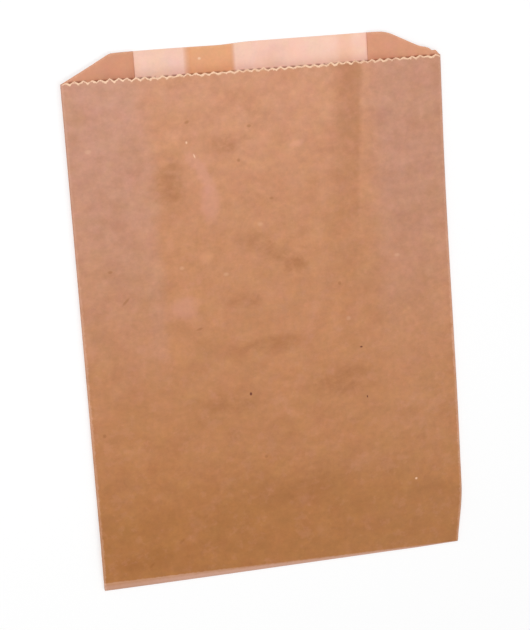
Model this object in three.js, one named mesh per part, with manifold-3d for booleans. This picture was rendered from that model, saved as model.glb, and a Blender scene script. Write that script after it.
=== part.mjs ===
// Liner bag of waxed kraft paper, with side gussets, a serrated mouth, a longer back lip and a folded, pasted bottom.
// It lies on its back, front panel up: X is across the bag, +Y runs to the mouth and +Z is up. Millimetres.
import * as THREE from "three";
import Module from "manifold-3d";
import { mergeVertices } from "three/addons/utils/BufferGeometryUtils.js";

const wasm = await Module();
wasm.setup();

// The flat bag
const BAG_WIDTH = 190.5;
const FRONT_HEIGHT = 260.35; // bottom fold to the roots of the front panel's teeth
const LIP_HEIGHT = 12.7; // how far the back lip stands past the front panel
const LIP_SLOPE_LEFT = 24.8; // width of the sloping cut at the lip's left end
const LIP_SLOPE_RIGHT = 27.2;
const LIP_BEND_LEFT = 1; // half of the run over which the slope bends into the lip's straight edge
const LIP_BEND_RIGHT = 3.5;
const GUSSET_DEPTH = 73.4; // whole side gusset, which folds in by half of this
const PAPER = 0.25;

// The lengthwise seam, where the sheet's two edges lap on the back panel
const SEAM_LAP = 22.2;
const SEAM_FROM_LEFT = 64.4; // left side crease to the lap's left edge
const SEAM_RELAX = 8; // run over which the upper ply comes down beside the lap

// The knife's teeth, and how many of them show on the right-hand slope
const TEETH_ACROSS = 45;
const TOOTH_DEPTH = 1.4;
const TEETH_ON_SLOPE = 2;

// The bottom: the tube's end is folded under the back panel and pasted to it
const FLAP_LENGTH = 22;
const FLAP_SIDE_THICKNESS = 0.95; // the flap's four plies at the gussets
const FLAP_MIDDLE_THICKNESS = 0.6; // its two plies between them
const PASTE_DEPTH = 0.1; // how far the pasted flap bites into the back panel
const FOLD_RUN_LEFT = 3.8; // width of the rounded fold, seen from the front, at the bag's left
const FOLD_RUN_RIGHT = 1.6;
const FOLD_TUCK = 0.5; // how far the plies reach into the pressed fold

// How the empty bag relaxes
const PRESSED_GAP = 0.1; // between plies at the bottom fold
const RELAXED_GAP = 0.35; // between plies elsewhere
const MOUTH_BOW = 5.2; // how far the front panel stands over its side creases at the mouth
const MIDDLE_BOW = 4; // and halfway down
const BOW_RUN = 46; // the panel rises to its flat middle over this run at each side
const CREASE_RISE = 0.8; // how far the front side creases lift at the mouth
const BELLY_LENGTH = 95; // run over which the bow grows from the bottom fold
const LIFT_RUN = 30; // run over which the back panel comes down off the flap

const HALF_WIDTH = BAG_WIDTH / 2;
const GUSSET_FOLD = HALF_WIDTH - GUSSET_DEPTH / 2;
const BOTTOM_Y = -(FRONT_HEIGHT + LIP_HEIGHT) / 2;
const MOUTH_Y = BOTTOM_Y + FRONT_HEIGHT;
const LAP_LEFT = -HALF_WIDTH + SEAM_FROM_LEFT;
const LAP_RIGHT = LAP_LEFT + SEAM_LAP;
const LAP_END = LAP_RIGHT + SEAM_RELAX;
const TOOTH_HALF = BAG_WIDTH / TEETH_ACROSS / 2;
const LEFT = { slope: LIP_SLOPE_LEFT, bend: LIP_BEND_LEFT };
const RIGHT = { slope: LIP_SLOPE_RIGHT, bend: LIP_BEND_RIGHT };

// Mesh steps
const FRONT_STEPS = 15;
const CUT_STEPS = 2 * TEETH_ACROSS;
const FOLD_STEPS = 4;
const BEND_STEPS = 4;
const NOSE_STEPS = 6;
const BELLY_ROWS = 5;
const UPPER_ROWS = 4;
const LAP_EDGE_STEP = 0.4;
const CUT_SPARE = 1; // how far a cutting form reaches past what it cuts

const { lerp, clamp } = THREE.MathUtils;
const ease = (t) => THREE.MathUtils.smoothstep(t, 0, 1);
const evenly = (steps, place) => Array.from({ length: steps + 1 }, (_, i) => place(i / steps));
const within = (from, to, steps) => evenly(steps, (t) => lerp(from, to, t)).slice(1, -1);

// How the bag stands open at height y: the gap between plies, the lift of the side creases, the front
// panel's bow and the height of the back panel, which comes down from the flap to the table.
function openness(y) {
  const up = y - BOTTOM_Y;
  const toMouth = clamp(up / FRONT_HEIGHT, 0, 1);
  return {
    gap: lerp(PRESSED_GAP, RELAXED_GAP, ease(up / FLAP_LENGTH)),
    rise: CREASE_RISE * toMouth * toMouth,
    bow: ease(up / BELLY_LENGTH) * lerp(MIDDLE_BOW, MOUTH_BOW, 2 * toMouth - 1),
    lift: FLAP_SIDE_THICKNESS * (1 - ease((up - FLAP_LENGTH) / LIFT_RUN)),
  };
}

// Half circle of a fold from its lower ply to its upper one, bulging towards +X or -X as side says.
function foldArc(x, z, radius, side) {
  return evenly(FOLD_STEPS, (t) => {
    const angle = Math.PI * (t - 0.5);
    return [x + side * radius * Math.cos(angle), z + radius * (1 + Math.sin(angle))];
  });
}

// Places on a ply from the side crease inwards past the slope's bend, with one at each root and tip of a tooth.
function slopePlaces({ slope, bend }) {
  const teeth = Array.from({ length: 2 * TEETH_ON_SLOPE }, (_, i) => HALF_WIDTH - (i + 1) * TOOTH_HALF);
  const bending = evenly(BEND_STEPS, (t) => HALF_WIDTH - slope + lerp(bend, -bend, t));
  return [...teeth, ...within(teeth.at(-1), bending[0], 2), ...bending];
}

// Middle line of the paper round one side of the bag at height y, drawn as at its right: from the back panel
// round the rear crease, the gusset and the front crease.
function sidePath(y, side) {
  const { gap, rise, lift } = openness(y);
  const ply = gap + PAPER;
  const radius = ply / 2;
  const back = lift + PAPER / 2;
  const crease = HALF_WIDTH - radius - PAPER / 2;
  const fold = GUSSET_FOLD + radius + PAPER / 2;
  const places = slopePlaces(side);
  const inward = [...places, ...within(places.at(-1), fold, 2)];
  const outward = inward.toReversed();
  const upperPly = (x) => back + 2 * ply + (rise * (x - fold)) / (crease - fold);
  return [
    ...places.toReversed().map((x) => [x, back]),
    ...foldArc(crease, back, radius, 1),
    ...inward.map((x) => [x, back + ply]),
    ...foldArc(fold, back + ply, radius, -1),
    ...outward.map((x) => [x, upperPly(x)]),
    ...foldArc(crease, upperPly(crease), radius, 1),
  ];
}

// Points off a path to one side, by half the paper, mitred where the path turns.
function offset(path, side) {
  return path.map(([x, z], i) => {
    const [x0, z0] = path[Math.max(i - 1, 0)];
    const [x1, z1] = path[Math.min(i + 1, path.length - 1)];
    const arriving = new THREE.Vector2(x - x0, z - z0).normalize();
    const leaving = new THREE.Vector2(x1 - x, z1 - z).normalize();
    const along = arriving.clone().add(leaving).normalize();
    const mitre = Math.max(along.dot(arriving), along.dot(leaving));
    const reach = (side * PAPER) / 2 / mitre;
    return [x + along.y * reach, z - along.x * reach];
  });
}

// The lapped seam, as pairs of a point outside and a point inside the two pasted plies.
function seamPairs(lift) {
  const [low, one, two] = [lift, lift + PAPER, lift + 2 * PAPER];
  const middle = (LAP_LEFT + LAP_RIGHT) / 2;
  const relaxing = (LAP_RIGHT + LAP_END) / 2;
  return [
    [[LAP_LEFT - LAP_EDGE_STEP, low], [LAP_LEFT, one]],
    [[LAP_LEFT + LAP_EDGE_STEP, low], [LAP_LEFT, two]],
    [[middle, low], [middle, two]],
    [[LAP_RIGHT, low], [LAP_RIGHT - LAP_EDGE_STEP, two]],
    [[LAP_RIGHT, one], [LAP_RIGHT + LAP_EDGE_STEP, two]],
    [[relaxing, low + PAPER / 2], [relaxing, one + PAPER / 2]],
    [[LAP_END, low], [LAP_END, one]],
  ];
}

// The tube's section at height y: rings of points outside and inside the paper, from the seam round by the
// right side, the front panel and the left side, with the index of the front panel's first and last point.
function section(y, frontSteps) {
  const right = sidePath(y, RIGHT);
  const left = sidePath(y, LEFT).toReversed().map(([x, z]) => [-x, z]);
  const [edgeX, edgeZ] = right.at(-1);
  const { bow, lift } = openness(y);
  const frontZ = (x) => edgeZ + bow * ease((edgeX - Math.abs(x)) / BOW_RUN);
  const front = within(edgeX, -edgeX, frontSteps).map((x) => [x, frontZ(x)]);
  const backNode = (from, to) => [(from + to) / 2, lift + PAPER / 2];
  const besideLap = [backNode(LAP_END, right[0][0]), backNode(left.at(-1)[0], LAP_LEFT)];
  const path = [besideLap[0], ...right, ...front, ...left, besideLap[1]];
  const seam = seamPairs(lift);
  const first = seam.length + right.length;
  return {
    outer: [...seam.map(([point]) => point), ...offset(path, 1)],
    inner: [...seam.map(([, point]) => point), ...offset(path, -1)],
    front: [first, first + frontSteps],
  };
}

// Cut of the gussets and the back panel: the lip, its slopes, and the teeth low on the right-hand slope.
function rearCut(x) {
  const { slope, bend } = x > 0 ? RIGHT : LEFT;
  const fromSide = Math.max(HALF_WIDTH - Math.abs(x), 0);
  const bent = clamp((fromSide - slope + bend) / (2 * bend), 0, 1);
  const climb = (LIP_HEIGHT * (Math.min(fromSide, slope + bend) - bend * bent * bent)) / slope;
  const halves = fromSide / TOOTH_HALF;
  const toothed = x > 0 && halves < 2 * TEETH_ON_SLOPE;
  const tooth = toothed ? TOOTH_DEPTH * (1 - Math.abs((halves % 2) - 1)) : 0;
  return MOUTH_Y + climb + tooth;
}

// Width of the rounded bottom fold, which narrows to the right.
const foldRun = (x) => lerp(FOLD_RUN_LEFT, FOLD_RUN_RIGHT, (x + HALF_WIDTH) / BAG_WIDTH);

// The tube's rows from the bottom fold to the cut, each a section and the Y of its points.
function rows() {
  const tucked = { ...section(BOTTOM_Y, FRONT_STEPS), y: (x) => BOTTOM_Y + foldRun(x) + FOLD_TUCK };
  const landing = BOTTOM_Y + FLAP_LENGTH + LIFT_RUN;
  const belly = BOTTOM_Y + BELLY_LENGTH;
  const heights = [
    BOTTOM_Y + FLAP_LENGTH / 2,
    ...evenly(BELLY_ROWS, (t) => lerp(BOTTOM_Y + FLAP_LENGTH, landing, t)),
    (landing + belly) / 2,
    ...evenly(UPPER_ROWS, (t) => lerp(belly, MOUTH_Y - LIP_HEIGHT, t)),
  ];
  const ring = section(MOUTH_Y, CUT_STEPS);
  const [first, last] = ring.front;
  const frontCut = (i) => MOUTH_Y + ((i - first) % 2) * TOOTH_DEPTH;
  const cut = { ...ring, y: (x, i) => (i >= first && i <= last ? frontCut(i) : rearCut(x)) };
  return [tucked, ...heights.map((y) => ({ ...section(y, FRONT_STEPS), y: () => y })), cut];
}

// Turns a closed mesh into a solid for joining.
function solid(geometry) {
  const bare = geometry.index ? geometry.toNonIndexed() : geometry;
  bare.deleteAttribute("normal");
  bare.deleteAttribute("uv");
  const merged = mergeVertices(bare, 1e-4);
  const vertProperties = new Float32Array(merged.attributes.position.array);
  const triVerts = new Uint32Array(merged.index.array);
  return new wasm.Manifold(new wasm.Mesh({ numProp: 3, vertProperties, triVerts }));
}

// Triangles of the strip between two runs of points, where the upper run may have more points than the lower.
function strip(lower, upper) {
  const triangles = [];
  const each = (upper.length - 1) / (lower.length - 1);
  for (let i = 0; i + 1 < lower.length; i += 1) {
    const turn = i * each + Math.floor(each / 2);
    triangles.push([lower[i], upper[turn], lower[i + 1]]);
    for (let k = i * each; k < (i + 1) * each; k += 1) {
      triangles.push([k < turn ? lower[i] : lower[i + 1], upper[k], upper[k + 1]]);
    }
  }
  return triangles;
}

// The folded and lapped sheet, as a tube with two open ends.
function tube() {
  const points = [];
  const skins = rows().map((row) => {
    const place = (ring) =>
      ring.map(([x, z], i) => points.push(new THREE.Vector3(x, row.y(x, i), z)) - 1);
    return { outer: place(row.outer), inner: place(row.inner), front: row.front };
  });
  const triangles = [];
  const runs = (ring, [first, last]) => [
    ring.slice(0, first + 1),
    ring.slice(first, last + 1),
    [...ring.slice(last), ring[0]],
  ];
  const skin = (name, flip) => {
    for (let j = 0; j + 1 < skins.length; j += 1) {
      const lower = runs(skins[j][name], skins[j].front);
      const upper = runs(skins[j + 1][name], skins[j + 1].front);
      const wall = lower.flatMap((run, k) => strip(run, upper[k]));
      triangles.push(...(flip ? wall.map((t) => t.toReversed()) : wall));
    }
  };
  const rim = ({ outer, inner }, flip) => {
    const loop = strip([...outer, outer[0]], [...inner, inner[0]]);
    triangles.push(...(flip ? loop.map((t) => t.toReversed()) : loop));
  };
  skin("outer", false);
  skin("inner", true);
  rim(skins[0], true);
  rim(skins.at(-1), false);
  const geometry = new THREE.BufferGeometry().setFromPoints(points);
  geometry.setIndex(triangles.flat());
  return solid(geometry);
}

// The pressed bottom fold: half an ellipse in section, whose width follows foldRun along the bag.
function bottomFold() {
  const pressed = 4 * PAPER + 3 * PRESSED_GAP;
  const height = FLAP_SIDE_THICKNESS + pressed - PASTE_DEPTH;
  const run = FOLD_RUN_LEFT;
  const profile = new THREE.Shape();
  profile.moveTo(run, 0);
  profile.absellipse(run, height / 2, run, height / 2, -Math.PI / 2, Math.PI / 2, true);
  profile.lineTo(run + 2 * FOLD_TUCK, height);
  profile.lineTo(run + 2 * FOLD_TUCK, 0);
  const options = { depth: BAG_WIDTH, bevelEnabled: false, curveSegments: 2 * NOSE_STEPS };
  const geometry = new THREE.ExtrudeGeometry(profile, options);
  const position = geometry.attributes.position;
  for (let i = 0; i < position.count; i += 1) {
    const x = position.getZ(i) - HALF_WIDTH;
    const inRun = Math.min(position.getX(i), run);
    const past = position.getX(i) - inRun;
    position.setXYZ(i, x, BOTTOM_Y + (foldRun(x) * inRun) / run + past, position.getY(i));
  }
  return solid(geometry);
}

// Plate between two heights with the given outline, which is drawn in X and Y.
function plate(outline, from, to) {
  const shape = new THREE.Shape(outline.map(([x, y]) => new THREE.Vector2(x, y)));
  const geometry = new THREE.ExtrudeGeometry(shape, { depth: to - from, bevelEnabled: false });
  return solid(geometry.translate(0, 0, from));
}

// The flap under the back panel, four plies thick at the gussets and two between, with the knife's teeth.
function bottomFlap() {
  const behindFold = (x, past) => [x, BOTTOM_Y + foldRun(x) + past];
  const tip = BOTTOM_Y + FLAP_LENGTH;
  const top = FLAP_SIDE_THICKNESS + PASTE_DEPTH;
  const edge = evenly(CUT_STEPS, (t) => t * CUT_STEPS).map((i) => [
    HALF_WIDTH - i * TOOTH_HALF,
    tip - (i % 2) * TOOTH_DEPTH,
  ]);
  const root = [behindFold(-HALF_WIDTH, FOLD_TUCK), behindFold(HALF_WIDTH, FOLD_TUCK)];
  const whole = plate([...root, ...edge], 0, top);
  const hollow = [
    behindFold(-GUSSET_FOLD, 3 * FOLD_TUCK),
    behindFold(GUSSET_FOLD, 3 * FOLD_TUCK),
    [GUSSET_FOLD, tip + CUT_SPARE],
    [-GUSSET_FOLD, tip + CUT_SPARE],
  ];
  return whole.subtract(plate(hollow, -CUT_SPARE, FLAP_SIDE_THICKNESS - FLAP_MIDDLE_THICKNESS));
}

// The three closed forms joined into the one folded and pasted sheet.
function paperBag() {
  const joined = tube().add(bottomFold()).add(bottomFlap()).getMesh();
  const geometry = new THREE.BufferGeometry();
  geometry.setAttribute("position", new THREE.BufferAttribute(joined.vertProperties, 3));
  geometry.setIndex(new THREE.BufferAttribute(joined.triVerts, 1));
  const shaded = geometry.toNonIndexed();
  shaded.computeVertexNormals();
  return shaded;
}

const waxedKraft = new THREE.MeshStandardMaterial({ color: "#bf805b", roughness: 0.42, metalness: 0 });
const bag = new THREE.Mesh(paperBag(), waxedKraft);
bag.name = "paper_bag";

const group = new THREE.Group();
group.add(bag);

export default group;
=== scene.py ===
"""A liner bag of waxed kraft paper, folded from one sheet, lying on its back on a pale table."""

import math

import bpy
import numpy as np
from mathutils import Matrix, Vector, noise


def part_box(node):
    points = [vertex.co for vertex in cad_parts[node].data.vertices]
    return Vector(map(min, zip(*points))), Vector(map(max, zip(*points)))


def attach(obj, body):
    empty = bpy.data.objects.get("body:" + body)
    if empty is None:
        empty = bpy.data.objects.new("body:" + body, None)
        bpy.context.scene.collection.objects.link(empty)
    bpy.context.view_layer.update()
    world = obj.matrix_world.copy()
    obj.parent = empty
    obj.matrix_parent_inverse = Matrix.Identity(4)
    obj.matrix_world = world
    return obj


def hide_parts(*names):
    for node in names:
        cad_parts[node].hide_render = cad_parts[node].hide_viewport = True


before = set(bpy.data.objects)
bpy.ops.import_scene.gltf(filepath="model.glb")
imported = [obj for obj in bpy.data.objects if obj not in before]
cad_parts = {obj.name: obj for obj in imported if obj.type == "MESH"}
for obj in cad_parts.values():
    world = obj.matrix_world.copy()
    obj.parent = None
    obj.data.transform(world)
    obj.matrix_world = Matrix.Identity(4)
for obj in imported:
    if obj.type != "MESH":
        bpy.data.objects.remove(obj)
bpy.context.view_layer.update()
BAG_LOW, BAG_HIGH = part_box("paper_bag")

bl_info = {
    "name": "Waxed Paper Liner Bag",
    "version": (1, 0, 0),
    "blender": (4, 5, 0),
    "location": "View3D > Sidebar > Liner Bag",
    "description": "Folds a gusseted liner bag from one sheet and gives it a waxed kraft finish",
    "category": "Object",
}

MM = 0.001


def paint(red, green, blue):
    """A colour given in 0 to 255 display values, as the linear values that a shader takes."""
    return tuple((v / 255) ** 2.2 for v in (red, green, blue))


def length(name, description, default, **more):
    """A property that holds a length, in metres."""
    return bpy.props.FloatProperty(
        name=name, description=description, default=default, unit="LENGTH", precision=5, **more
    )


def colour(name, description, default):
    """A property that holds a colour."""
    return bpy.props.FloatVectorProperty(
        name=name, description=description, default=default, subtype="COLOR", size=3, min=0, max=1
    )


class BagSizes(bpy.types.PropertyGroup):
    """Sizes of the folded sheet."""

    width: length("Width", "Between the side creases", BAG_HIGH.x - BAG_LOW.x)
    lip: length("Lip", "How far the back stands past the front panel", 12.7 * MM)
    lip_step: length("Lip Step", "How far the cut steps up where the sheet's two edges lap", 0.85 * MM)
    mouth_skew: length("Mouth Skew", "How far the front's cut runs down to the right", 0.7 * MM)
    bottom_skew: length("Bottom Skew", "How far the bottom fold runs up towards the right", 0.9 * MM)
    slope_left: length("Left Slope", "Width of the sloping cut at the left of the lip", 24.8 * MM)
    slope_right: length("Right Slope", "Width of the sloping cut at the right of the lip", 27.2 * MM)
    gusset_left: length("Left Gusset", "Whole gusset at the left, folded in by half", 72.4 * MM)
    gusset_right: length("Right Gusset", "Whole gusset at the right, folded in by half", 74.2 * MM)
    paper: length("Paper", "Thickness of the paper", 0.14 * MM)
    lap: length("Seam Lap", "Width of the pasted lap on the back panel", 22.2 * MM)
    lap_from_left: length("Seam From Left", "Left crease to the lap", 64.4 * MM)
    lap_relax: length("Seam Relief", "Run over which the upper ply comes down beside the lap", 5 * MM)
    teeth: bpy.props.IntProperty(name="Teeth", description="Teeth across the front panel", default=45)
    tooth_depth: length("Tooth Depth", "Root to tip of a tooth", 1 * MM)
    flap: length("Flap", "Length of the end that is folded under and pasted", 22 * MM)
    fold_left: length("Fold at Left", "Width of the rounded bottom fold at the left", 3.8 * MM)
    fold_right: length("Fold at Right", "Width of the rounded bottom fold at the right", 1.6 * MM)
    pressed_pitch: length("Pressed Pitch", "From ply to ply in the bottom fold", 0.2 * MM)
    relaxed_pitch: length("Relaxed Pitch", "From ply to ply above the flap", 0.5 * MM)
    mouth_bow: length("Mouth Bow", "Height of the front panel over its creases at the mouth", 2.6 * MM)
    mouth_bump: length("Mouth Bump", "Extra height of the mouth's edge left of the middle", 1.1 * MM)
    middle_bow: length("Middle Bow", "Height of the front panel over its creases halfway down", 3.2 * MM)
    bow_run: length("Bow Run", "Run over which the front panel rises beside each crease", 46 * MM)
    crease_rise: length("Crease Rise", "Lift of the front side creases at the mouth", 0.8 * MM)
    side_swell: length("Side Swell", "How far the right crease strays out near the bottom", 2.7 * MM)


class PaperColours(bpy.types.PropertyGroup):
    """Colours of the waxed kraft."""

    # The front panel's colours lighten towards the mouth: partly the wax's own colour, partly painted sheen
    top: colour("Top", "Front panel at the mouth", paint(214, 150, 114))
    upper: colour("Upper", "Front panel above the middle", paint(204, 140, 99))
    middle: colour("Middle", "Front panel at its middle", paint(198, 134, 90))
    lower: colour("Lower", "Front panel below the middle", paint(191, 127, 79))
    bottom: colour("Bottom", "Front panel just above the bottom fold", paint(179, 116, 62))
    # Painted light through the plies, on the front over the gussets; also a painted highlight on the left
    # fold
    side: colour("Gusset Show-through", "Front panel over the gusset's plies", paint(196, 142, 120))
    # Painted light through the paper from the table below: palest through one ply, darker through more
    single: colour("Single Ply", "The back panel's inside at the lip", paint(255, 206, 184))
    lap: colour("Lap", "The two pasted plies of the seam", paint(239, 169, 121))
    stack: colour("Gusset Plies", "The gusset's inside at the lip", paint(220, 151, 117))
    # Also the painted highlight along the cut, as well as bare fibre and pale flecks
    cut: colour("Cut Edge", "The bare fibre along the knife's cut", paint(255, 212, 176))
    # Partly crazed wax, partly a painted highlight on the fold's rounding
    fold: colour("Bottom Fold", "Crazed wax on the bottom fold", paint(224, 176, 158))
    # Also paints the shade beside the right gusset's inner fold, as well as real stains and nicks
    dark: colour("Wax Stain", "Where the wax has soaked in", paint(156, 94, 42))
    rosy: colour("Rosy Patch", "Where the wax lies pale and dull", paint(228, 160, 142))


class StudioSettings(bpy.types.PropertyGroup):
    """Camera and light."""

    distance: length("Distance", "Camera to the point that it aims at", 0.889)
    lean: bpy.props.FloatProperty(
        name="Lean",
        description="Camera's angle off the vertical",
        default=math.radians(17.18),
        subtype="ANGLE",
    )
    bearing: bpy.props.FloatProperty(
        name="Bearing",
        description="Side to which the camera leans, from the mouth towards the left",
        default=math.radians(39.57),
        subtype="ANGLE",
    )
    roll: bpy.props.FloatProperty(
        name="Roll",
        description="Turn about the camera's axis",
        default=math.radians(-3.62),
        subtype="ANGLE",
    )
    aim: bpy.props.FloatVectorProperty(
        name="Aim",
        description="Point on the table that the camera aims at",
        default=(-2.02 * MM, -0.65 * MM, 0),
        subtype="XYZ",
        unit="LENGTH",
    )
    lens: bpy.props.FloatProperty(name="Lens", description="Focal length in millimetres", default=100)
    table: colour("Table", "Colour of the table", (0.86, 0.86, 0.86))


def ease(t):
    """Smooth step from 0 to 1 on numbers or arrays."""
    t = np.clip(t, 0, 1)
    return t * t * (3 - 2 * t)


def ripple(points, scale, seed):
    """Smooth noise between -1 and 1 at rows of (x, y), for waves of about the given length."""
    return np.array([noise.noise(Vector((x / scale, y / scale, seed))) for x, y in points])


class Ply:
    """A run of the sheet's columns: a flat ply, or a fold that turns to the given side."""

    def __init__(self, kind, count, start, end, level, last_level=None, side=0):
        self.kind = kind
        self.t = np.linspace(0, 1, count, endpoint=False)
        self.start = start
        self.end = end
        self.level = level
        self.last_level = level if last_level is None else last_level
        self.side = side


class Folding:
    """Where each point of the sheet goes when it is folded into the bag."""

    FOLD_COLUMNS = 6
    PLY_COLUMNS = 20
    COLUMNS_PER_TOOTH = 4
    FLAP_ROWS = 8
    NOSE_ROWS = 10
    PANEL_ROWS = 84
    LEFT_BEND = 1 * MM  # how far the lip's cut bends on each side of its corner
    RIGHT_BEND = 3.5 * MM
    BELLY_RUN = 95 * MM  # run over which the front panel's bow grows from the bottom fold
    TABLE_RUN = 30 * MM  # run over which the back panel comes down from the flap to the table
    BUMP_X = -46 * MM  # middle, half width and length of the bump in the front panel at the mouth
    BUMP_HALF_WIDTH = 26 * MM
    BUMP_LENGTH = 60 * MM
    CLEAR_OF_CUT = 9 * MM  # distance from a cut that the rows away from it are given

    def __init__(self, sizes):
        self.s = sizes
        self.half = sizes.width / 2
        self.folds = {-1: self.half - sizes.gusset_left / 2, 1: self.half - sizes.gusset_right / 2}
        self.bottom_y = BAG_LOW.y
        self.mouth_y = BAG_HIGH.y - sizes.lip
        self.height = self.mouth_y - self.bottom_y
        self.tooth_pitch = sizes.width / sizes.teeth
        self.lap_left = -self.half + sizes.lap_from_left
        self.lap_right = self.lap_left + sizes.lap
        self.axis_gap = sizes.paper / 4
        self.axis_z = 3 * sizes.pressed_pitch + sizes.paper + self.axis_gap
        self.lift = self.axis_z + self.axis_gap
        self.lay_columns()

    def side_plies(self, side):
        """The rear crease, the gusset and the front crease of one side, from the back to the front."""
        crease, fold = side * self.half, side * self.folds[side]
        folds, flats = self.FOLD_COLUMNS, self.PLY_COLUMNS
        return [
            Ply("crease", folds, crease, crease, 0, 1, side),
            Ply("gusset", flats, crease, fold, 1),
            Ply("inner", folds, fold, fold, 1, 2, -side),
            Ply("gusset", flats, fold, crease, 2),
            Ply("crease", folds, crease, crease, 2, 3, side),
        ]

    def lay_columns(self):
        """Sets each column's place across, its move with the fold radius, its ply level and its kind."""
        s = self.s
        lap_end = self.lap_right + s.lap_relax
        turned = [
            Ply(p.kind, len(p.t), p.end, p.start, p.last_level, p.level, p.side)
            for p in reversed(self.side_plies(-1))
        ]
        # Kind, number of columns, first and last place across, and ply level
        plies = [
            Ply("lap_over", 8, self.lap_left, self.lap_right, 0),
            Ply("relax", 5, self.lap_right, lap_end, 0),
            Ply("back", 26, lap_end, self.half, 0),
            *self.side_plies(1),
            Ply("front", s.teeth * self.COLUMNS_PER_TOOTH, self.half, -self.half, 3),
            *turned,
            Ply("back", 16, -self.half, self.lap_left, 0),
            Ply("lap_under", 9, self.lap_left, self.lap_right, 0),
        ]
        columns = [self.column(ply, t) for ply in plies for t in ply.t]
        columns.append(self.column(plies[-1], 1.0))
        names = ("x", "x_per_radius", "level", "raised", "rise", "kind")
        for name, values in zip(names, zip(*columns)):
            setattr(self, name, np.array(values))

    def inset(self, place):
        """How a place moves with the fold radius: the creases and the inner folds move in by it."""
        at = abs(place)
        sign = 1 if place > 0 else -1
        if math.isclose(at, self.half):
            return -sign
        return sign if math.isclose(at, self.folds[sign]) else 0

    def column(self, ply, t):
        """One column of a ply, at a share of the way through it."""
        s = self.s
        x = ply.start + (ply.end - ply.start) * t
        per_radius = self.inset(ply.start) * (1 - t) + self.inset(ply.end) * t
        level = ply.level + (ply.last_level - ply.level) * t
        raised = {"lap_over": 1, "relax": 1 - float(ease(t))}.get(ply.kind, 0) * s.paper
        if ply.kind in ("crease", "inner"):
            angle = math.pi * t
            per_radius += ply.side * math.sin(angle)
            level = ply.level + (ply.last_level - ply.level) * (1 - math.cos(angle)) / 2
        fold = self.folds[1 if x > 0 else -1]
        share = (abs(x) - fold) / (self.half - fold)
        rise = max(0, min(1, level - 1)) * max(0, min(1, share)) if level < 3 else 1
        return x, per_radius, level, raised, rise, ply.kind

    def cut(self, x, kind):
        """Height of the top cut over the front panel's roots, at each column."""
        from_side = np.maximum(self.half - np.abs(x), 0)
        tooth = 1 - np.abs((2 * from_side / self.tooth_pitch) % 2 - 1)
        return np.where(kind == "front", self.serrated_cut(x, tooth), self.lip_cut(x, from_side, tooth))

    def serrated_cut(self, x, tooth):
        """The front panel's toothed edge, with teeth of uneven depth on a line that wanders a little."""
        s = self.s
        across = [(v, 0) for v in x]
        depth = s.tooth_depth * (1 + 0.8 * ripple(across, 4 * MM, 7.7))
        serrated = depth * tooth + 0.35 * MM * ripple(across, 7 * MM, 3.1)
        serrated = serrated + 0.25 * MM * ripple(across, 2.3 * MM, 9.4)
        return serrated - s.mouth_skew * ease((x + self.half) / s.width)

    def lip_cut(self, x, from_side, tooth):
        """The back's straight lip, its sloping ends and the two teeth that run on to the right one."""
        s = self.s
        width = np.where(x < 0, s.slope_left, s.slope_right)
        bend = np.where(x < 0, self.LEFT_BEND, self.RIGHT_BEND)
        past = np.clip((from_side - width + bend) / (2 * bend), 0, 1)
        line = s.lip * np.minimum(from_side / width, 1 + bend / width)
        rear = np.where(from_side > width + bend, s.lip, line - s.lip / width * bend * past**2)

        # The line steps up past the seam, where the sheet's two edges lap, and a little at the left
        past_seam = ease((x - self.lap_left - 12 * MM) / (18 * MM))
        past_seam = past_seam * (1 - 0.15 * ease((x - 5 * MM) / (50 * MM)))
        raised = past_seam + 0.5 * ease(-x / (45 * MM))
        rear = rear + s.lip_step * raised * ease(from_side / width - 0.4)
        toothed = (x > 0) & (from_side < 2 * self.tooth_pitch)
        return rear + np.where(toothed, 1.5 * s.tooth_depth * tooth, 0)

    def openness(self, y):
        """Ply pitch, crease lift, bow of the front panel and lift of the back panel at height y."""
        s = self.s
        up = y - self.bottom_y
        to_mouth = np.clip(up / self.height, 0, 1)
        pitch = s.pressed_pitch + (s.relaxed_pitch - s.pressed_pitch) * ease(up / s.flap)
        bow = s.middle_bow + (s.mouth_bow - s.middle_bow) * (2 * to_mouth - 1)
        bow = bow * ease(up / self.BELLY_RUN)
        lift = self.lift * (1 - ease((up - s.flap) / self.TABLE_RUN))
        return pitch, s.crease_rise * to_mouth**2, bow, lift

    def fold_run(self, x):
        """Width of the rounded bottom fold, which narrows to the right."""
        s = self.s
        return s.fold_left + (s.fold_right - s.fold_left) * (x + self.half) / s.width

    def row_at(self, y):
        """A row of the open part of the bag, where y gives the place of each column along the bag."""
        s = self.s
        pitch, rise, bow, lift = self.openness(y)

        # The outer faces stay on the creases, so the paper's middle lies half its thickness further in
        folded = np.abs(self.x_per_radius) > 0
        x = self.x + self.x_per_radius * pitch / 2 - np.sign(self.x) * folded * s.paper / 2
        z = lift + s.paper / 2 + self.level * pitch + self.raised + rise * self.rise
        from_side = self.half - np.abs(x)
        bump = np.exp(-(((x - self.BUMP_X) / self.BUMP_HALF_WIDTH) ** 2))
        bump = bump * ease((y - self.mouth_y + self.BUMP_LENGTH) / self.BUMP_LENGTH)
        crown = bow * ease(from_side / s.bow_run)
        crown = crown + s.mouth_bump * bump * ease(from_side / (12 * MM))
        return np.column_stack([x, y, z + np.where(self.kind == "front", crown, 0)])

    def flat_row(self, share):
        """A row of the panels, at a share of the way from the bottom fold to just under the cut."""
        low = self.bottom_y + self.fold_run(self.x)
        return self.row_at(low + share * (self.mouth_y - 5 * MM - low))

    def cut_row(self, below):
        """A row that follows the top cut at a distance below it."""
        return self.row_at(self.mouth_y + self.cut(self.x, self.kind) - below)

    def blend_row(self, share):
        """A row between the last flat row and the first that follows the cut."""
        low = self.flat_row(1)[:, 1]
        high = self.cut_row(2.5 * MM)[:, 1]
        return self.row_at(low + (high - low) * share)

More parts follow.
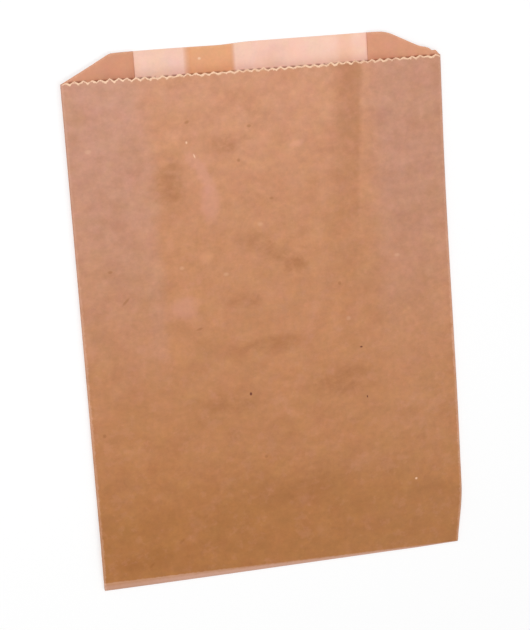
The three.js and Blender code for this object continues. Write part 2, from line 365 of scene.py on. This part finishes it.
    def turned_row(self, angle, y_out=0):
        """A row in the bottom fold at an angle round it, or in the flap at a distance past the fold."""
        s = self.s
        x = self.row_at(np.full_like(self.x, self.bottom_y))[:, 0]
        height = self.level * s.pressed_pitch + s.paper / 2 + self.raised
        reach = height + self.axis_gap
        run = self.fold_run(self.x)
        y = self.bottom_y + run - run * reach / self.axis_z * math.sin(angle) + y_out
        return np.column_stack([x, y, self.axis_z + reach * math.cos(angle)])

    def rows(self):
        """All rows from the flap's edge to the top cut, each with its distance from a cut."""
        s, clear = self.s, self.CLEAR_OF_CUT
        from_side = np.abs(self.x + self.half)
        teeth = s.tooth_depth * (1 - np.abs((2 * from_side / self.tooth_pitch) % 2 - 1))
        edge = s.flap - self.fold_run(self.x) - teeth
        flap = [(self.turned_row(math.pi, edge - d * MM), d * MM) for d in (0, 0.5, 1.5)]
        for t in np.linspace(0.1, 1, self.FLAP_ROWS):
            flap.append((self.turned_row(math.pi, (edge - 1.5 * MM) * (1 - t)), clear))
        nose = [(self.turned_row(math.pi * (1 - t)), clear) for t in np.linspace(0.1, 1, self.NOSE_ROWS)]
        panel = [(self.flat_row(t), clear) for t in np.linspace(0, 1, self.PANEL_ROWS)[1:]]
        blend = [(self.blend_row(t), clear) for t in (0.25, 0.5, 0.75)]
        top = [(self.cut_row(d * MM), d * MM) for d in (2.5, 1.2, 0.5, 0)]
        return flap + nose + panel + blend + top


def soften(points, kind, folding):
    """Lets the folded sheet wave a little and stray at its right crease, with its plies kept apart."""
    s, height = folding.s, folding.height
    x, up = points[:, 0], points[:, 1] - folding.bottom_y

    # The right crease strays out most low down, and comes back in at the corner
    stray = ease((height * 0.86 - up) / (height * 0.7)) * (1.2 * ease((up + 6 * MM) / (40 * MM)) - 0.2)
    shift = s.side_swell * stray * ease(x / folding.half)

    # The bottom fold runs up to the right, with a little more at the corner
    skew = s.bottom_skew * (ease((x + folding.half) / s.width) - 0.45) * ease(1 - up / (60 * MM))
    skew = skew + 0.4 * MM * ease((x - 70 * MM) / (25 * MM)) * ease(1 - up / (20 * MM))

    # Long and short waves, only in the front panel, where nothing lies over it
    wave = 0.45 * MM * ripple(points[:, :2], 70 * MM, 1.3) + 0.18 * MM * ripple(points[:, :2], 24 * MM, 5.9)
    front = np.where(kind == "front", 1.0, 0.0) * ease(up / (60 * MM))
    from_crease = ease((folding.half - np.abs(x)) / (20 * MM))
    return points + np.column_stack([shift, skew, wave * front * from_crease])


def new_sheet_object(columns, rows):
    """A flat grid to fold, added as a primitive."""
    bpy.ops.object.select_all(action="DESELECT")
    bpy.ops.mesh.primitive_grid_add(x_subdivisions=columns - 1, y_subdivisions=rows - 1, size=1)
    sheet = bpy.context.active_object
    sheet.name = "waxed_paper_bag"
    sheet.data.name = "waxed_paper_bag"
    return sheet


def store(mesh, name, values):
    """Keeps one number for each point as a named attribute."""
    attribute = mesh.attributes.new(name, "FLOAT", "POINT")
    attribute.data.foreach_set("value", np.ascontiguousarray(values, dtype=np.float32))


class BAG_OT_fold_sheet(bpy.types.Operator):
    """Fold the sheet into the bag, with its gussets, seam, teeth, lip and pasted bottom"""

    bl_idname = "liner_bag.fold_sheet"
    bl_label = "Fold Sheet"

    def execute(self, context):
        sizes = context.scene.bag_sizes
        folding = Folding(sizes)
        rows = folding.rows()
        columns = len(folding.x)
        sheet = new_sheet_object(columns, len(rows))
        mesh = sheet.data
        kinds = np.tile(folding.kind, len(rows))
        points = soften(np.vstack([row for row, _ in rows]), kinds, folding)
        mesh.vertices.foreach_set("co", points.astype(np.float32).ravel())
        store(mesh, "from_cut", np.repeat([distance for _, distance in rows], columns))
        store(mesh, "from_crease", np.tile(folding.half - np.abs(folding.x), len(rows)))
        self.store_tones(mesh, folding, kinds, points)
        self.unfold_uv(mesh, folding, rows)
        mesh.update()
        self.finish_paper(sheet, sizes)
        self.keep_upper_tones(mesh)
        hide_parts("paper_bag")
        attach(sheet, "root")
        return {"FINISHED"}

    def store_tones(self, mesh, folding, kinds, points):
        """Marks the front panel, its cut, the bottom fold and the plies that show past the front panel."""
        past_front = ease((points[:, 1] - folding.mouth_y + 4 * MM) / MM)
        groups = {
            "single": np.isin(kinds, ["back", "relax"]),
            "lapped": np.isin(kinds, ["lap_over", "lap_under"]),
            "gusset": np.isin(kinds, ["gusset", "inner"]),
        }
        for name, members in groups.items():
            store(mesh, name, np.where(members, past_front, 0))
        store(mesh, "front", kinds == "front")
        store(mesh, "front_cut", kinds == "front")
        up = points[:, 1] - folding.bottom_y
        run = folding.fold_run(np.clip(points[:, 0], -folding.half, folding.half))
        store(mesh, "bottom_fold", up / run)

    def keep_upper_tones(self, mesh):
        """Clears the tones from the faces that look down, such as the outside of the back panel."""
        normals = np.empty(len(mesh.vertices) * 3, dtype=np.float32)
        mesh.vertices.foreach_get("normal", normals)
        upper = np.where(normals[2::3] > 0, 1.0, 0.0)
        for name in ("single", "lapped", "gusset", "front"):
            values = np.empty(len(mesh.vertices), dtype=np.float32)
            mesh.attributes[name].data.foreach_get("value", values)
            mesh.attributes[name].data.foreach_set("value", (values * upper).astype(np.float32))

    def unfold_uv(self, mesh, folding, rows):
        """Gives the sheet a UV map of its flat form, in metres."""
        columns = len(folding.x)
        middle = rows[len(rows) // 2][0]
        steps = np.linalg.norm(np.diff(middle, axis=0), axis=1)
        across = np.concatenate([[0], np.cumsum(steps)])
        stacked = np.stack([row for row, _ in rows])
        along = np.linalg.norm(np.diff(stacked, axis=0), axis=2)
        along = np.vstack([np.zeros(columns), np.cumsum(along, axis=0)])
        flat = np.stack([np.tile(across, (len(rows), 1)), along], axis=2).reshape(-1, 2)
        corners = np.empty(len(mesh.loops), dtype=np.int32)
        mesh.loops.foreach_get("vertex_index", corners)
        mesh.uv_layers[0].data.foreach_set("uv", flat[corners].astype(np.float32).ravel())

    def finish_paper(self, sheet, sizes):
        """Gives the paper its thickness and smooth shading."""
        solidify = sheet.modifiers.new("paper", "SOLIDIFY")
        solidify.thickness = sizes.paper
        solidify.offset = 0
        solidify.use_quality_normals = True
        bpy.ops.object.modifier_apply(modifier=solidify.name)
        bpy.ops.object.shade_smooth_by_angle(angle=math.radians(50))


class Wire:
    """A shader socket that takes part in arithmetic."""

    def __init__(self, nodes, socket):
        self.nodes = nodes
        self.socket = socket

    def calc(self, operation, a, b):
        """A Math node on two values."""
        return self.nodes.calc(operation, a, b)

    def __add__(self, other):
        return self.calc("ADD", self, other)

    def __sub__(self, other):
        return self.calc("SUBTRACT", self, other)

    def __rsub__(self, other):
        return self.calc("SUBTRACT", other, self)

    def __mul__(self, other):
        return self.calc("MULTIPLY", self, other)

    def __truediv__(self, other):
        return self.calc("DIVIDE", self, other)

    def __abs__(self):
        return self.calc("ABSOLUTE", self, 0)

    __radd__ = __add__
    __rmul__ = __mul__


class NodeMaker:
    """Builds a material's nodes."""

    def __init__(self, name):
        self.material = bpy.data.materials.new(name)
        self.material.use_nodes = True
        self.tree = self.material.node_tree
        self.tree.nodes.clear()

    def add(self, kind, settings=None, inputs=None, output=0):
        """Adds a node, sets it, feeds its sockets with values or links, and gives one of its outputs."""
        node = self.tree.nodes.new(kind)
        for name, value in (settings or {}).items():
            if name == "stops":
                self.set_stops(node.color_ramp, value)
            else:
                setattr(node, name, value)
        for key, value in (inputs or {}).items():
            if isinstance(value, Wire):
                self.tree.links.new(value.socket, node.inputs[key])
            else:
                node.inputs[key].default_value = value
        return Wire(self, node.outputs[output]) if node.outputs else node

    def set_stops(self, ramp, stops):
        """Sets a colour ramp's stops, given as pairs of place and colour."""
        while len(ramp.elements) < len(stops):
            ramp.elements.new(1)
        for element, (place, shade) in zip(ramp.elements, stops):
            element.position = place
            element.color = (*shade, 1)

    def blend(self, factor, a, b):
        """Mixes two colours."""
        a, b = (v if isinstance(v, Wire) else (*v, 1) for v in (a, b))
        return self.add("ShaderNodeMix", {"data_type": "RGBA"}, {0: factor, 6: a, 7: b}, 2)

    def calc(self, operation, a, b):
        """A Math node on two values."""
        return self.add("ShaderNodeMath", {"operation": operation}, {0: a, 1: b})

    def hue_shift(self, colour_wire, noise_colour, amounts):
        """Multiplies each channel of a colour by its own noise about 1."""
        scale = {0: noise_colour, 1: amounts, 2: tuple(1 - amount / 2 for amount in amounts)}
        channels = self.add("ShaderNodeVectorMath", {"operation": "MULTIPLY_ADD"}, scale)
        return self.add("ShaderNodeVectorMath", {"operation": "MULTIPLY"}, {0: colour_wire, 1: channels})

    def tint(self, colour_wire, amount):
        """Multiplies a colour by a number."""
        scale = self.add("ShaderNodeCombineXYZ", inputs={0: amount, 1: amount, 2: amount})
        return self.add("ShaderNodeVectorMath", {"operation": "MULTIPLY"}, {0: colour_wire, 1: scale})

    def step(self, value, low, high):
        """Smooth step of a value between two limits."""
        limits = {0: value, 1: low, 2: high, 3: 0, 4: 1}
        return self.add("ShaderNodeMapRange", {"interpolation_type": "SMOOTHSTEP"}, limits)

    def attribute(self, name):
        """A number kept on the mesh."""
        return self.add("ShaderNodeAttribute", {"attribute_name": name}, output=2)

    def noise(self, vector, scale, detail=3.0, roughness=0.55, output=0):
        """Noise from 0 to 1 with its scale in waves per metre: output 0 is a number and 1 a colour."""
        inputs = {0: vector, 2: scale, 3: detail, 4: roughness}
        return self.add("ShaderNodeTexNoise", inputs=inputs, output=output)


# Marks on the front panel. Each has its centre across and up from the bag's middle, its half width and its
# half height, all in millimetres, and its turn in degrees
STAINS = {
    "top_stain": (-14, 90, 16, 7, 8),
    "upper_stain": (2, 34, 22, 8, -28),
    "stain_tail": (15, 25, 9, 5, -10),
    "seam_stain": (-13, 9, 12, 5, 0),
    "blotch": (-47, 71, 13, 19, 0),
    "middle_stain": (-2, -15, 30, 7, 5),
    "right_stain": (35, -38, 24, 11, 8),
    "left_stain": (-25, -44, 24, 9, -6),
    "bottom_stain": (10, -95, 34, 12, 0),
    "corner_stain": (-70, -122, 22, 8, 0),
}
ROSY_SPOTS = {
    "smear": (-31, 77, 5, 17, 27),
    "smear_foot": (-27, 60, 7, 14, 0),
    "spot": (17.7, 85, 4, 2.5, 0),
    "seam_foot": (-44, 8, 10, 8, 0),
}
DARK_SPECKS = {
    "middle_speck": (-12.9, -39.6, 0.9, 1.2, 0),
    "right_speck": (46.2, -21.5, 1.0, 0.6, 0),
    "low_speck": (48.1, -48.2, 0.5, 0.9, 0),
}
NICKS = {
    "top_nick": (-36, 101.1, 1.8, 1.1, 20),
    "upper_nick": (-5.1, 96.6, 1.5, 1.1, 0),
    "smear_nick": (-11.3, 80.1, 1.2, 1.2, 0),
    "centre_nick": (4.1, 59.7, 1.5, 1, 0),
    "left_nick": (-79, 29.9, 1.6, 1.1, 0),
    "long_nick": (-72.4, 14.4, 3.8, 0.9, 45),
    "right_nick": (36.6, 12.9, 1.2, 1.3, 0),
    "seam_nick": (-36.8, -3.1, 2.4, 0.9, 15),
    "side_nick": (-88.7, -53.8, 1.4, 1.4, 0),
    "low_nick": (-6.8, -74, 1.4, 1.2, 0),
    "foot_nick": (-53.5, -114.5, 2.6, 1.1, 40),
    "corner_nick": (-69.8, -125.8, 2.6, 1, 45),
}
PALE_NICKS = {
    "top_fleck": (-85, 90.4, 2.2, 1.5, 0),
    "centre_fleck": (-2.4, 47.1, 2, 1.5, 0),
    "left_fleck": (-43.5, 28.8, 1.6, 1.3, 0),
    "right_fleck": (67.6, 24.3, 2, 1.3, 0),
    "seam_fleck": (-21.5, 23.5, 1.8, 1.3, 0),
    "band_fleck": (40.3, -5.8, 1.6, 1.6, 0),
}
PALE_SPOTS = {
    "spot": (17.5, 86, 3.5, 3.5, 0),
    "left_spot": (-31, 33, 5, 4, 0),
    "seam_spot": (-49, 82, 4, 4, 0),
}
PALE_SPECKS = {
    "upper_speck": (-36.8, 91.1, 0.7, 0.9, 0),
    "next_speck": (-33.3, 84.1, 0.5, 1.6, 20),
    "low_speck": (73, -96.7, 0.9, 0.8, 0),
}


class PaperFinish:
    """The waxed kraft: show-through of the plies, wax mottling, fibres, creases and the knife's edge."""

    def __init__(self, colours, sizes):
        self.c = colours
        self.s = sizes
        self.n = NodeMaker("waxed_kraft_paper")
        place = self.n.add("ShaderNodeTexCoord", output=3)
        self.place = place
        self.x = self.n.add("ShaderNodeSeparateXYZ", inputs={0: place}, output=0)
        self.y = self.n.add("ShaderNodeSeparateXYZ", inputs={0: place}, output=1)
        self.flat = self.n.add("ShaderNodeTexCoord", output=2)
        stretch = {0: place, 1: (0.72, 1, 1)}
        self.smeared = self.n.add("ShaderNodeVectorMath", {"operation": "MULTIPLY"}, stretch)
        self.front = self.n.attribute("front")
        self.warp = (self.n.noise(place, 70, 4.0, 0.7) - 0.5) * 14 * MM

    def spot(self, across, up, half_width, half_height, turn, warped=1):
        """1 at a spot's middle, falling to 0 at its rim, with both sizes in millimetres."""
        cos, sin = math.cos(math.radians(turn)), math.sin(math.radians(turn))
        dx = self.x + self.warp * (0.7 * warped) - across * MM
        dy = self.y + self.warp * (0.7 * warped) - up * MM
        u = (dx * cos + dy * sin) / (half_width * MM)
        v = (dy * cos - dx * sin) / (half_height * MM)
        shade = 1 - self.n.step(u * u + v * v, 0.0, 1.2)
        return shade * shade

    def spots(self, places, warped=1):
        """All of a group's spots together, on the front panel."""
        total = 0
        for values in places.values():
            total = self.spot(*values, warped) + total
        return total * self.front

    def front_colour(self):
        """Colour of the outer faces, darker and browner towards the bottom: partly wax, partly painted
        sheen.
        """
        n, c = self.n, self.c
        share = (self.y + self.warp * 0.8 - BAG_LOW.y) / (BAG_HIGH.y - BAG_LOW.y)
        stops = [(0.05, c.bottom), (0.12, c.bottom), (0.24, c.lower)]
        stops += [(0.46, c.middle), (0.7, c.upper), (0.93, c.top)]
        body = n.add("ShaderNodeValToRGB", {"stops": stops}, {0: share})
        return self.show_through(body, share)

    def show_through(self, body, share):
        """Painted light and shade of the gussets and their folds through the front, strongest near the
        mouth.
        """
        n = self.n
        x = self.x + self.warp * 0.35
        upper = n.step(share, 0.3, 0.8)
        # Painted light through the plies: the front panel paler and pinker over the gussets
        side = n.step(abs(x), 50 * MM, 66 * MM) * upper * 0.6

        # Painted shade in a strip beside the right gusset's inner fold, which leans to the middle further
        # down
        drift = (BAG_HIGH.y - self.y) * 0.07
        edge = x + drift
        fold_shade = n.step(edge, 36 * MM, 50 * MM) * (1 - n.step(edge, 53 * MM, 56 * MM))
        patchy = 0.65 + n.step(n.noise(self.place, 55, 3.0), 0.35, 0.65) * 0.55
        fold_shade = fold_shade * patchy * (n.step(share, 0.3, 0.7) * 0.2 + n.step(share, 0.6, 0.8) * 0.16)

        # Painted highlight: a paler strip over the left gusset's inner fold, about halfway up
        fold_highlight = n.step(x, -64 * MM, -58 * MM) * (1 - n.step(x, -56 * MM, -50 * MM))
        fold_highlight = fold_highlight * n.step(share, 0.38, 0.5) * (1 - n.step(share, 0.8, 0.92)) * 0.26
        body = n.blend(side, body, self.c.side)
        body = n.blend(fold_shade * self.front, body, self.c.dark)
        return n.blend(fold_highlight * self.front, body, self.c.side)

    def mottle(self, body):
        """Wax that has soaked in unevenly, the pulp's cloudiness, and the front panel's marks."""
        n = self.n
        clouds = n.noise(self.place, 38, 4.0) - 0.5
        flecks = n.noise(self.place, 340, 3.0, 0.6) - 0.5
        grain = n.noise(self.flat, 1300, 2.0) - 0.5
        body = n.tint(body, 1.003 + clouds * 0.09 + flecks * 0.24 + grain * 0.05)
        body = n.hue_shift(body, n.noise(self.smeared, 130, 4.0, 0.7), (0.38, 0.5, 0.68))
        body = n.hue_shift(body, n.noise(self.place, 90, 5.0, 0.75, output=1), (0.13, 0.2, 0.4))

        # Stains and rosy patches, both the placed ones and random ones
        blot = n.step(n.noise(self.place, 60, 5.0, 0.6), 0.5, 0.72)
        uneven = n.step(n.noise(self.smeared, 95, 4.0, 0.65), 0.3, 0.62)
        body = n.blend(blot * 0.1 + self.spots(STAINS) * uneven * 0.42, body, self.c.dark)
        rosy = n.step(n.noise(self.place, 75, 4.0, 0.6), 0.55, 0.75)
        body = n.blend(rosy * 0.12 + self.spots(ROSY_SPOTS) * 0.34, body, self.c.rosy)

        # Small flecks, then the single nicks and specks
        fleck = n.noise(self.place, 165, 4.0, 0.65)
        body = n.blend(n.step(fleck, 0.54, 0.64) * 0.07, body, self.c.dark)
        body = n.blend((1 - n.step(fleck, 0.36, 0.46)) * 0.08, body, self.c.rosy)
        body = n.blend(self.spots(PALE_SPOTS, 0.4) * 0.24, body, self.c.lap)
        body = n.blend(self.spots(PALE_NICKS, 0) * 0.16, body, self.c.cut)
        body = n.blend(self.spots(NICKS, 0) * 0.45, body, self.c.dark)
        body = n.blend(self.spots(DARK_SPECKS, 0) * 0.95, body, paint(96, 30, 8))
        return n.blend(self.spots(PALE_SPECKS, 0) * 0.75, body, self.c.cut)

    def inside_colours(self, body):
        """The plies that show past the front panel, at the lip."""
        n, c = self.n, self.c
        clouds = n.noise(self.place, 160, 3.0) - 0.5
        grain = n.noise(self.flat, 700, 2.0) - 0.5
        shade = 1 + clouds * 0.16 + grain * 0.1
        # Painted light: the inside plies lighter towards the right than towards the left
        lean = 0.97 + n.step(self.x, -70 * MM, 70 * MM) * 0.06
        # Painted light through the paper: the single ply palest, the lap and the gusset plies darker
        for name, ply in (("single", c.single), ("lapped", c.lap), ("gusset", c.stack)):
            paper = n.tint(self.solid(ply), shade * lean)
            paper = n.hue_shift(paper, n.noise(self.place, 110, 4.0, 0.6, output=1), (0.16, 0.2, 0.3))
            body = n.blend(n.attribute(name), body, paper)

        # A speck on the seam, and a blush and a tan line on the single ply to its right
        speck = self.spot(-26.7, 131, 1.1, 0.9, 0, 0) * n.attribute("lapped")
        body = n.blend(speck * 0.7, body, c.cut)
        blush = self.spot(10, 129, 12, 9, 0) * n.attribute("single")
        body = n.blend(blush * 0.2, body, c.rosy)
        line = n.step(self.x, 41 * MM, 46 * MM) * (1 - n.step(self.x, 48 * MM, 53 * MM))
        body = n.blend(line * n.attribute("single") * 0.3, body, c.lap)
        return n.blend(self.notches() * 0.7, body, paint(142, 70, 32))

    def notches(self):
        """Shade in the gaps between the front panel's teeth, on the plies right behind them."""
        n, s = self.n, self.s
        inside = n.attribute("single") + n.attribute("lapped") + n.attribute("gusset")
        mouth_y = BAG_HIGH.y - s.lip
        height = n.step(s.width / 2 - abs(self.x), 0, s.bow_run) * s.mouth_bow + 1.2 * MM
        line = mouth_y - height * 0.24 - n.step(self.x, -s.width / 2, s.width / 2) * s.mouth_skew
        above = self.y - line
        tooth = n.calc("PINGPONG", (s.width / 2 - self.x + height * 0.2) * (s.teeth / s.width), 0.5)
        gap = 1 - n.step(tooth, 0.18, 0.46)
        near = n.step(above, -0.6 * MM, 0.1 * MM) * (1 - n.step(above, 0.9 * MM, 1.8 * MM))
        return inside * gap * near * n.step(n.noise(self.place, 260, 2.0), 0.3, 0.5)

    def solid(self, shade):
        """A plain colour as a wire."""
        return self.n.add("ShaderNodeCombineColor", inputs={0: shade[0], 1: shade[1], 2: shade[2]})

    def edges(self, body):
        """The bare cut edge, the rubbed side creases and the crazed bottom fold, each partly a painted
        highlight.
        """
        n, c = self.n, self.c
        wander = (n.noise(self.place, 600, 3.0, 0.6) - 0.5) * 2.6 * MM
        # Bare fibre and a painted highlight along the cut: a cream line, brightest on the front's teeth
        bright = 0.58 + n.step(n.noise(self.place, 330, 2.0), 0.35, 0.6) * 0.38
        cut = 1 - n.step(n.attribute("from_cut") + wander, 0.5 * MM, 1.15 * MM)
        cut = cut * (0.14 + n.attribute("front_cut") * bright)
        worn = n.noise(self.place, 150, 3.0)
        # The side creases' pale line, in the single ply's colour: partly crazed wax, partly a painted
        # highlight
        crease = 1 - n.step(n.attribute("from_crease") + wander, 0.3 * MM, 1.2 * MM)
        # The bottom fold's pale strip: partly crazed wax, partly a painted highlight on its rounding
        up = n.attribute("bottom_fold") + wander * 150
        fold = 1 - n.step(up, 0.35, 1.2)
        # Painted highlight: a thin pale line along the top of the fold strip, at the left
        fold_top_highlight = (1 - n.step(abs(up - 1), 0.03, 0.2)) * (1 - n.step(self.x, -60 * MM, 10 * MM)) * worn
        corner = (1 - n.step(self.x, -90 * MM, -50 * MM)) * 0.55
        body = n.blend(n.step(fold, 0, 0.6) * (1 - corner) * 0.35 + fold * 0.4, body, c.fold)
        low = 1 - n.step(self.y, -40 * MM, 60 * MM) * 0.5
        body = n.blend(crease * worn * low * 0.5 + fold_top_highlight * 0.45, body, c.single)
        return n.blend(cut, body, c.cut)

    def relief(self):
        """Fibres, the calendered grain and the wax's slight orange peel."""
        n = self.n
        fibre = n.noise(self.flat, 2600, 2.0)
        pulp = n.noise(self.flat, 600, 3.0)
        waves = n.noise(self.place, 90, 2.0)
        height = fibre * 0.02 * MM + pulp * 0.035 * MM + waves * 0.25 * MM
        return n.add("ShaderNodeBump", inputs={"Strength": 0.5, "Distance": 1.0, "Height": height})

    def build(self):
        """Joins all of it into the material."""
        n = self.n
        body = self.edges(self.inside_colours(self.mottle(self.front_colour())))
        gloss = 0.46 + (n.noise(self.place, 120, 3.0) - 0.5) * 0.2
        inputs = {"Base Color": body, "Roughness": gloss, "Normal": self.relief()}
        inputs |= {"Coat Weight": 0.15, "Coat Roughness": 0.35, "Specular IOR Level": 0.4}
        shader = n.add("ShaderNodeBsdfPrincipled", inputs=inputs)
        n.add("ShaderNodeOutputMaterial", inputs={0: shader})
        return n.material


class BAG_OT_wax_finish(bpy.types.Operator):
    """Give the folded bag its waxed kraft finish"""

    bl_idname = "liner_bag.wax_finish"
    bl_label = "Wax Finish"

    def execute(self, context):
        finish = PaperFinish(context.scene.paper_colours, context.scene.bag_sizes)
        sheet = bpy.data.objects["waxed_paper_bag"]
        sheet.data.materials.clear()
        sheet.data.materials.append(finish.build())
        return {"FINISHED"}


# Each lamp's place in metres, its width in metres and its power in watts
LAMPS = {"key_lamp": ((-0.45, 0.6, 1.9), 0.8, 21), "fill_lamp": ((1.1, -0.9, 1.7), 1.4, 7)}
DAYLIGHT = 0.36
TABLE_GLOW = 0.22


class BAG_OT_place_studio(bpy.types.Operator):
    """Set the table, the soft light and the camera"""

    bl_idname = "liner_bag.place_studio"
    bl_label = "Place Studio"

    def execute(self, context):
        studio = context.scene.studio_settings
        self.lay_table(studio)
        self.hang_lamps()
        self.set_world(context.scene)
        self.set_camera(context.scene, studio)
        context.scene.view_settings.view_transform = "Standard"
        return {"FINISHED"}

    def lay_table(self, studio):
        """A pale table under the bag, which shows white to the camera and keeps the shadow."""
        bpy.ops.object.select_all(action="DESELECT")
        bpy.ops.mesh.primitive_plane_add(size=6, location=(0, 0, -0.1 * MM))
        table = bpy.context.active_object
        table.name = "table_top"
        bpy.ops.object.transform_apply(location=True, rotation=True, scale=True)
        n = NodeMaker("pale_table")
        inputs = {"Base Color": (*studio.table, 1), "Roughness": 0.9}
        matt = n.add("ShaderNodeBsdfPrincipled", inputs=inputs)
        seen = n.add("ShaderNodeLightPath", output=0)
        glossy = n.add("ShaderNodeLightPath", output=3)
        glow = n.add("ShaderNodeEmission", inputs={1: (seen + glossy) * TABLE_GLOW})
        shader = n.add("ShaderNodeAddShader", inputs={0: matt, 1: glow})
        n.add("ShaderNodeOutputMaterial", inputs={0: shader})
        table.data.materials.append(n.material)

    def hang_lamps(self):
        """Two large soft lamps: one near the camera and a weaker one opposite."""
        for name, (place, size, power) in LAMPS.items():
            bpy.ops.object.light_add(type="AREA", location=place)
            lamp = bpy.context.active_object
            lamp.name = name
            lamp.data.shape = "DISK"
            lamp.data.size = size
            lamp.data.energy = power
            lamp.rotation_euler = (-Vector(place)).to_track_quat("-Z", "Y").to_euler()

    def set_world(self, scene):
        """Even white light all round."""
        world = bpy.data.worlds.new("soft_daylight")
        scene.world = world
        world.use_nodes = True
        background = world.node_tree.nodes["Background"]
        background.inputs[0].default_value = (1, 1, 1, 1)
        background.inputs[1].default_value = DAYLIGHT

    def set_camera(self, scene, studio):
        """The camera leans off the vertical, towards the mouth and to the left."""
        flat = Vector((-math.sin(studio.bearing), math.cos(studio.bearing), 0))
        out = flat * math.sin(studio.lean) + Vector((0, 0, 1)) * math.cos(studio.lean)
        right = Vector((0, 1, 0)).cross(out).normalized()
        right = Matrix.Rotation(studio.roll, 3, out) @ right
        up = out.cross(right)
        turn = Matrix((right, up, out)).transposed().to_4x4()
        bpy.ops.object.camera_add()
        camera = bpy.context.active_object
        camera.name = "photo_camera"
        camera.matrix_world = Matrix.Translation(Vector(studio.aim) + out * studio.distance) @ turn
        camera.data.lens = studio.lens
        camera.data.clip_start = 0.01
        scene.camera = camera


class VIEW3D_PT_liner_bag(bpy.types.Panel):
    """Sidebar panel with the bag's steps"""

    bl_label = "Liner Bag"
    bl_idname = "VIEW3D_PT_liner_bag"
    bl_space_type = "VIEW_3D"
    bl_region_type = "UI"
    bl_category = "Liner Bag"

    def draw(self, context):
        for operator in OPERATORS:
            self.layout.operator(operator.bl_idname)
        for pointer in GROUPS:
            group = getattr(context.scene, pointer)
            box = self.layout.box()
            for name in group.__annotations__:
                box.prop(group, name)


OPERATORS = (BAG_OT_fold_sheet, BAG_OT_wax_finish, BAG_OT_place_studio)
GROUPS = {"bag_sizes": BagSizes, "paper_colours": PaperColours, "studio_settings": StudioSettings}


def register():
    """Adds the add-on's classes and its settings."""
    for cls in (*GROUPS.values(), *OPERATORS, VIEW3D_PT_liner_bag):
        bpy.utils.register_class(cls)
    for name, group in GROUPS.items():
        setattr(bpy.types.Scene, name, bpy.props.PointerProperty(type=group))


def unregister():
    """Takes them away again."""
    for name in GROUPS:
        delattr(bpy.types.Scene, name)
    for cls in (VIEW3D_PT_liner_bag, *reversed(OPERATORS), *reversed(list(GROUPS.values()))):
        bpy.utils.unregister_class(cls)


def main():
    """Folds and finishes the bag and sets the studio."""
    register()
    bpy.ops.liner_bag.fold_sheet()
    bpy.ops.liner_bag.wax_finish()
    bpy.ops.liner_bag.place_studio()


if __name__ == "__main__":
    main()
